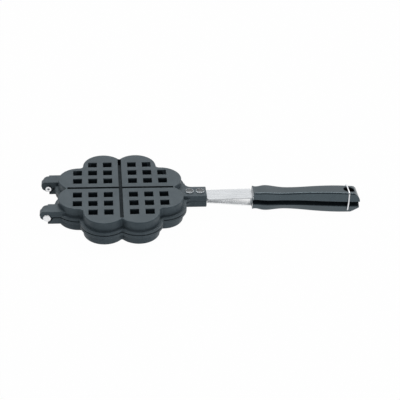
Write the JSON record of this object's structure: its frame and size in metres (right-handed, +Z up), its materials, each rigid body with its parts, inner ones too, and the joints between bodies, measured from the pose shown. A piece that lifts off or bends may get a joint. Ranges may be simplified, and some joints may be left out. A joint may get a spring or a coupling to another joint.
{
  "type": "stovetop waffle iron",
  "caption": "Hinged stovetop waffle iron with heart-shaped moulds, square-celled outer faces, steel straps, black handle halves and a wire bail that locks them.",
  "frame": {"origin": "centre of the lower plate's outer face, where its two grooves cross", "axes": "+X along the handle, +Y away from the viewer of the picture, +Z up through the plates"},
  "size_m": [0.4257, 0.1726, 0.0388],
  "materials": {
    "coated_casting": "dark grey satin non-stick coating on cast aluminium",
    "coated_rivet": "dark grey coating, slightly glossier than the plates",
    "hinge_steel": "bright plated steel",
    "strap_steel": "bright rolled steel",
    "handle_plastic": "black glossy moulded plastic",
    "dark_pin": "dull steel",
    "bail_wire": "bright steel wire"
  },
  "bodies": {
    "lower_half": {"lower_plate": "coated_casting", "lower_strap": "strap_steel", "lower_rivets": "coated_rivet", "lower_handle": "handle_plastic", "lower_handle_pin": "dark_pin", "front_hinge_pin": "hinge_steel", "rear_hinge_pin": "hinge_steel"},
    "upper_half": {"upper_plate": "coated_casting", "upper_strap": "strap_steel", "upper_rivets": "coated_rivet", "upper_handle": "handle_plastic", "upper_handle_pin": "dark_pin"},
    "bail": {"bail": "bail_wire"}
  },
  "joints": [
    {"name": "plate_open", "type": "hinge", "parent": "lower_half", "child": "upper_half", "pos_m": [-0.0954, 0, 0.0167], "axis": [0, -1, 0], "range_deg": [0, 95]},
    {"name": "bail_swing", "type": "hinge", "parent": "lower_half", "child": "bail", "pos_m": [0.30487, 0, 0.0015], "axis": [0, 1, 0], "range_deg": [0, 95]}
  ]
}
